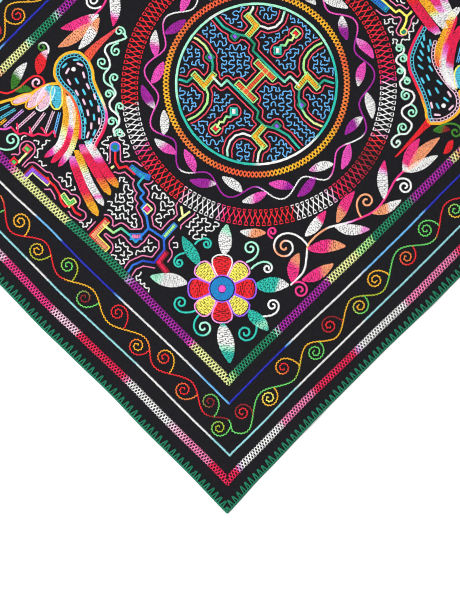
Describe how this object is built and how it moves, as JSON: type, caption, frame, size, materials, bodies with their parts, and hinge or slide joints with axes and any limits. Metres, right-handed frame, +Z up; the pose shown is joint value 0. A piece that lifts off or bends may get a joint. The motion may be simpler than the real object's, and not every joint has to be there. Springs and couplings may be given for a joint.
{
  "type": "shipibo embroidered cloth",
  "caption": "Oblong black cotton cloth with hand embroidery and an over-stitched rim, lying flat with soft puckers.",
  "frame": {"origin": "centre of the cloth's outline, on the surface it lies on", "axes": "+X along the longer sides, +Y along the shorter sides, +Z up out of the embroidered face"},
  "size_m": [0.6799, 0.5859, 0.0048],
  "materials": {
    "cloth": "matte black cotton",
    "thread": "soft embroidery thread in many colours"
  },
  "bodies": {
    "root": {"cloth_panel": "cloth"}
  },
  "joints": []
}
